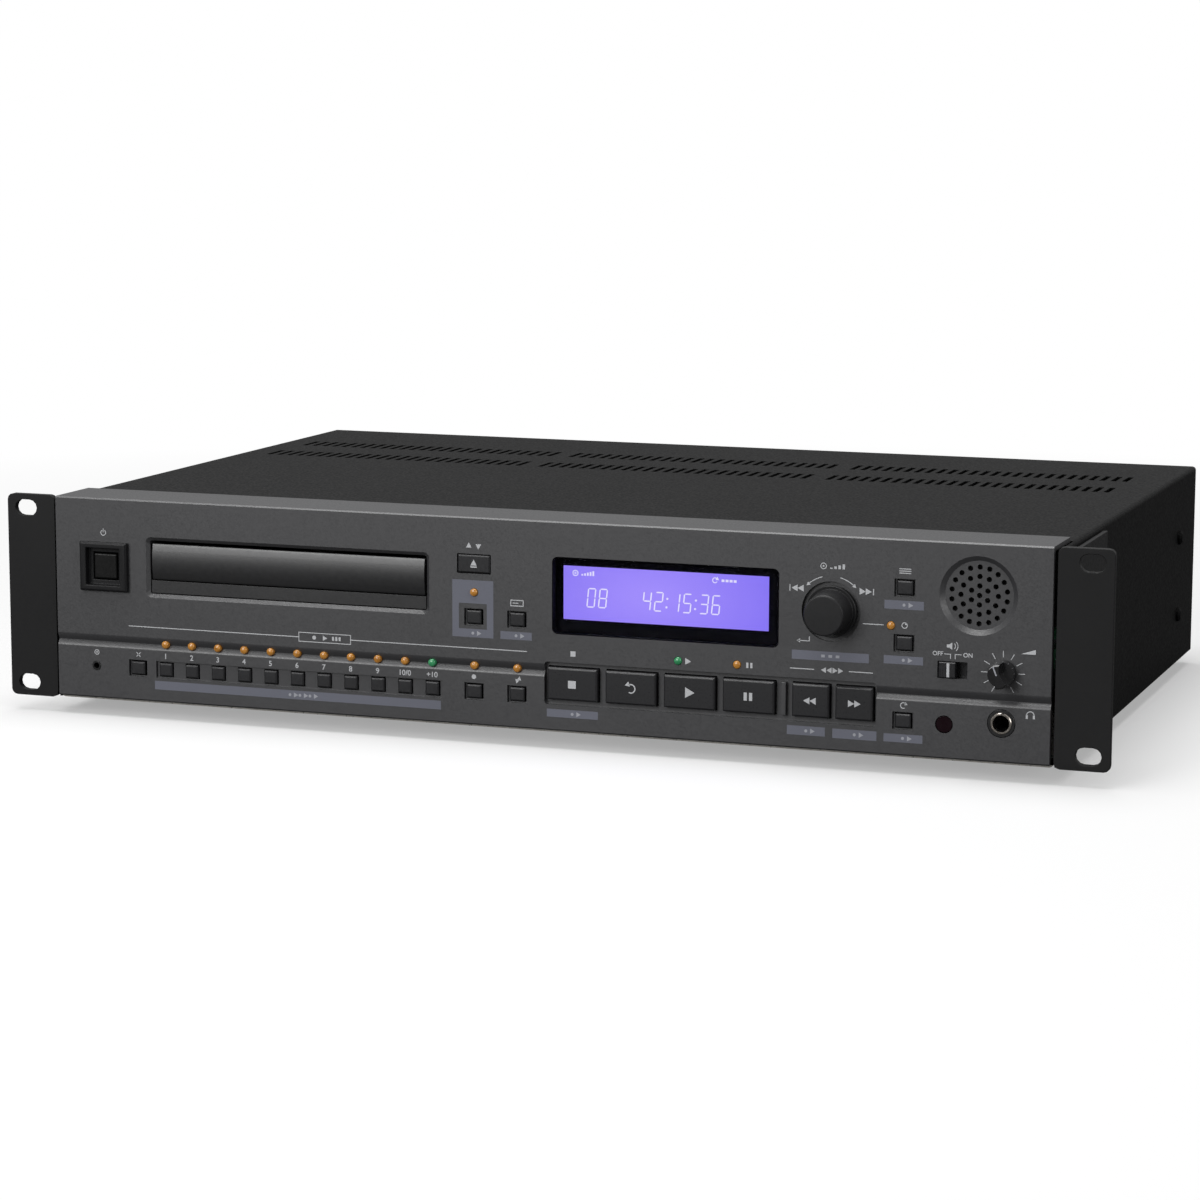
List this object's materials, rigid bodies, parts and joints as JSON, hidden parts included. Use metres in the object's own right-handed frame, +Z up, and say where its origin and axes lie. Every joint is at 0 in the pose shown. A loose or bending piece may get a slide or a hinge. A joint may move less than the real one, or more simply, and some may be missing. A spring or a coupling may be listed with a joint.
{
  "type": "rack-mount disc player",
  "caption": "Two-unit rack-mount disc player with motor tray, lit display, push buttons, jog knob, level knob, monitor speaker and headphone jack in a slotted steel case.",
  "frame": {"origin": "middle of the bounding box at the underside of the feet", "axes": "+X to the right seen from the front, -Y out of the front panel, +Z up"},
  "size_m": [0.4826, 0.3092, 0.0946],
  "materials": {
    "black_rubber": "matt black",
    "black_steel": "satin black powder coat",
    "board_green": "green lacquered laminate",
    "bright_metal": "plain plated steel",
    "gloss_black": "glossy black moulding",
    "grey_plastic": "satin dark grey moulding",
    "infrared_tint": "polished dark red acrylic",
    "key_plastic": "satin black moulding",
    "lit_display": "violet backlit panel",
    "panel_paint": "satin dark grey paint",
    "white_plastic": "satin off-white moulding",
    "window_tint": "polished smoked acrylic"
  },
  "bodies": {
    "case": {"ac_inlet": "key_plastic", "chassis_base": "bright_metal", "control_board": "board_green", "display_module": "lit_display", "display_window": "window_tint", "foot_front_left": "black_rubber", "foot_front_right": "black_rubber", "foot_rear_left": "black_rubber", "foot_rear_right": "black_rubber", "front_panel": "panel_paint", "infrared_window": "infrared_tint", "loader_frame": "grey_plastic", "main_board": "board_green", "output_sockets": "key_plastic", "phones_jack": "bright_metal", "power_bezel": "key_plastic", "power_transformer": "bright_metal", "rack_ear_left": "black_steel", "rack_ear_right": "black_steel", "rear_panel": "black_steel", "remote_jack": "key_plastic", "speaker_driver": "grey_plastic", "top_cover": "black_steel"},
    "call_key": {"call_button": "key_plastic"},
    "clear_key": {"clear_button": "key_plastic"},
    "cue_key": {"cue_button": "key_plastic"},
    "display_key": {"display_button": "key_plastic"},
    "flash_key": {"flash_button": "key_plastic"},
    "jog_key": {"jog_button": "key_plastic"},
    "menu_key": {"menu_button": "key_plastic"},
    "number_10_key": {"number_10_button": "key_plastic"},
    "number_1_key": {"number_1_button": "key_plastic"},
    "number_2_key": {"number_2_button": "key_plastic"},
    "number_3_key": {"number_3_button": "key_plastic"},
    "number_4_key": {"number_4_button": "key_plastic"},
    "number_5_key": {"number_5_button": "key_plastic"},
    "number_6_key": {"number_6_button": "key_plastic"},
    "number_7_key": {"number_7_button": "key_plastic"},
    "number_8_key": {"number_8_button": "key_plastic"},
    "number_9_key": {"number_9_button": "key_plastic"},
    "number_plus_10_key": {"number_plus_10_button": "key_plastic"},
    "open_close_key": {"open_close_button": "key_plastic"},
    "pause_key": {"pause_button": "key_plastic"},
    "play_key": {"play_button": "key_plastic"},
    "play_mode_key": {"play_mode_button": "key_plastic"},
    "search_back_key": {"search_back_button": "key_plastic"},
    "search_forward_key": {"search_forward_button": "key_plastic"},
    "shift_key": {"shift_button": "key_plastic"},
    "stop_key": {"stop_button": "key_plastic"},
    "power_key": {"power_button": "key_plastic"},
    "jog_turning": {"jog_collar": "bright_metal"},
    "jog_pushing": {"jog_knob": "key_plastic"},
    "level_control": {"level_knob": "gloss_black"},
    "speaker_switch": {"speaker_switch_lever": "key_plastic"},
    "tray": {"disc_tray": "key_plastic", "tray_front": "gloss_black"},
    "tray_gear": {"loading_gear": "white_plastic"},
    "disc_drive": {"turntable": "bright_metal"},
    "disc_clamp": {"clamp_puck": "white_plastic"},
    "pickup_sled": {"optical_pickup": "grey_plastic"}
  },
  "joints": [
    {"name": "call_press", "type": "slide", "parent": "case", "child": "call_key", "axis": [0, 1, 0], "range_m": [0, 0.001], "stiffness_N_per_m": 800},
    {"name": "clear_press", "type": "slide", "parent": "case", "child": "clear_key", "axis": [0, 1, 0], "range_m": [0, 0.0006], "stiffness_N_per_m": 600},
    {"name": "cue_press", "type": "slide", "parent": "case", "child": "cue_key", "axis": [0, 1, 0], "range_m": [0, 0.0006], "stiffness_N_per_m": 600},
    {"name": "display_press", "type": "slide", "parent": "case", "child": "display_key", "axis": [0, 1, 0], "range_m": [0, 0.0006], "stiffness_N_per_m": 600},
    {"name": "flash_press", "type": "slide", "parent": "case", "child": "flash_key", "axis": [0, 1, 0], "range_m": [0, 0.0006], "stiffness_N_per_m": 600},
    {"name": "jog_press", "type": "slide", "parent": "case", "child": "jog_key", "axis": [0, 1, 0], "range_m": [0, 0.0006], "stiffness_N_per_m": 600},
    {"name": "menu_press", "type": "slide", "parent": "case", "child": "menu_key", "axis": [0, 1, 0], "range_m": [0, 0.0006], "stiffness_N_per_m": 600},
    {"name": "number_10_press", "type": "slide", "parent": "case", "child": "number_10_key", "axis": [0, 1, 0], "range_m": [0, 0.0006], "stiffness_N_per_m": 600},
    {"name": "number_1_press", "type": "slide", "parent": "case", "child": "number_1_key", "axis": [0, 1, 0], "range_m": [0, 0.0006], "stiffness_N_per_m": 600},
    {"name": "number_2_press", "type": "slide", "parent": "case", "child": "number_2_key", "axis": [0, 1, 0], "range_m": [0, 0.0006], "stiffness_N_per_m": 600},
    {"name": "number_3_press", "type": "slide", "parent": "case", "child": "number_3_key", "axis": [0, 1, 0], "range_m": [0, 0.0006], "stiffness_N_per_m": 600},
    {"name": "number_4_press", "type": "slide", "parent": "case", "child": "number_4_key", "axis": [0, 1, 0], "range_m": [0, 0.0006], "stiffness_N_per_m": 600},
    {"name": "number_5_press", "type": "slide", "parent": "case", "child": "number_5_key", "axis": [0, 1, 0], "range_m": [0, 0.0006], "stiffness_N_per_m": 600},
    {"name": "number_6_press", "type": "slide", "parent": "case", "child": "number_6_key", "axis": [0, 1, 0], "range_m": [0, 0.0006], "stiffness_N_per_m": 600},
    {"name": "number_7_press", "type": "slide", "parent": "case", "child": "number_7_key", "axis": [0, 1, 0], "range_m": [0, 0.0006], "stiffness_N_per_m": 600},
    {"name": "number_8_press", "type": "slide", "parent": "case", "child": "number_8_key", "axis": [0, 1, 0], "range_m": [0, 0.0006], "stiffness_N_per_m": 600},
    {"name": "number_9_press", "type": "slide", "parent": "case", "child": "number_9_key", "axis": [0, 1, 0], "range_m": [0, 0.0006], "stiffness_N_per_m": 600},
    {"name": "number_plus_10_press", "type": "slide", "parent": "case", "child": "number_plus_10_key", "axis": [0, 1, 0], "range_m": [0, 0.0006], "stiffness_N_per_m": 600},
    {"name": "open_close_press", "type": "slide", "parent": "case", "child": "open_close_key", "axis": [0, 1, 0], "range_m": [0, 0.0006], "stiffness_N_per_m": 600},
    {"name": "pause_press", "type": "slide", "parent": "case", "child": "pause_key", "axis": [0, 1, 0], "range_m": [0, 0.001], "stiffness_N_per_m": 800},
    {"name": "play_press", "type": "slide", "parent": "case", "child": "play_key", "axis": [0, 1, 0], "range_m": [0, 0.001], "stiffness_N_per_m": 800},
    {"name": "play_mode_press", "type": "slide", "parent": "case", "child": "play_mode_key", "axis": [0, 1, 0], "range_m": [0, 0.0006], "stiffness_N_per_m": 600},
    {"name": "search_back_press", "type": "slide", "parent": "case", "child": "search_back_key", "axis": [0, 1, 0], "range_m": [0, 0.001], "stiffness_N_per_m": 800},
    {"name": "search_forward_press", "type": "slide", "parent": "case", "child": "search_forward_key", "axis": [0, 1, 0], "range_m": [0, 0.001], "stiffness_N_per_m": 800},
    {"name": "shift_press", "type": "slide", "parent": "case", "child": "shift_key", "axis": [0, 1, 0], "range_m": [0, 0.0006], "stiffness_N_per_m": 600},
    {"name": "stop_press", "type": "slide", "parent": "case", "child": "stop_key", "axis": [0, 1, 0], "range_m": [0, 0.001], "stiffness_N_per_m": 800},
    {"name": "power_press", "type": "slide", "parent": "case", "child": "power_key", "axis": [0, 1, 0], "range_m": [0, 0.002], "stiffness_N_per_m": 500},
    {"name": "jog_turn", "type": "hinge", "parent": "case", "child": "jog_turning", "pos_m": [0.1282, -0.14103, 0.0641], "axis": [0, 1, 0], "continuous": true},
    {"name": "jog_push", "type": "slide", "parent": "jog_turning", "child": "jog_pushing", "axis": [0, 1, 0], "range_m": [0, 0.0008], "stiffness_N_per_m": 900},
    {"name": "level_turn", "type": "hinge", "parent": "case", "child": "level_control", "pos_m": [0.19832, -0.14313, 0.0438], "axis": [0, 1, 0], "range_deg": [-128, 172]},
    {"name": "speaker_switch_slide", "type": "slide", "parent": "case", "child": "speaker_switch", "axis": [1, 0, 0], "range_m": [0, 0.004]},
    {"name": "tray_slide", "type": "slide", "parent": "case", "child": "tray", "axis": [0, -1, 0], "range_m": [0, 0.135]},
    {"name": "tray_gear_turn", "type": "hinge", "parent": "case", "child": "tray_gear", "pos_m": [-0.0603, -0.12712, 0.061], "axis": [0, 0, 1], "range_deg": [-1106, 1]},
    {"name": "turntable_spin", "type": "hinge", "parent": "case", "child": "disc_drive", "pos_m": [-0.1095, -0.07243, 0.0581], "axis": [0, 0, 1], "continuous": true},
    {"name": "clamp_spin", "type": "hinge", "parent": "case", "child": "disc_clamp", "pos_m": [-0.1095, -0.07243, 0.0747], "axis": [0, 0, 1], "continuous": true},
    {"name": "pickup_travel", "type": "slide", "parent": "case", "child": "pickup_sled", "axis": [0, 1, 0], "range_m": [0, 0.034]}
  ],
  "couplings": [
    {"joint": "tray_gear_turn", "follows": "tray_slide", "rad_per_m": -142.86}
  ]
}
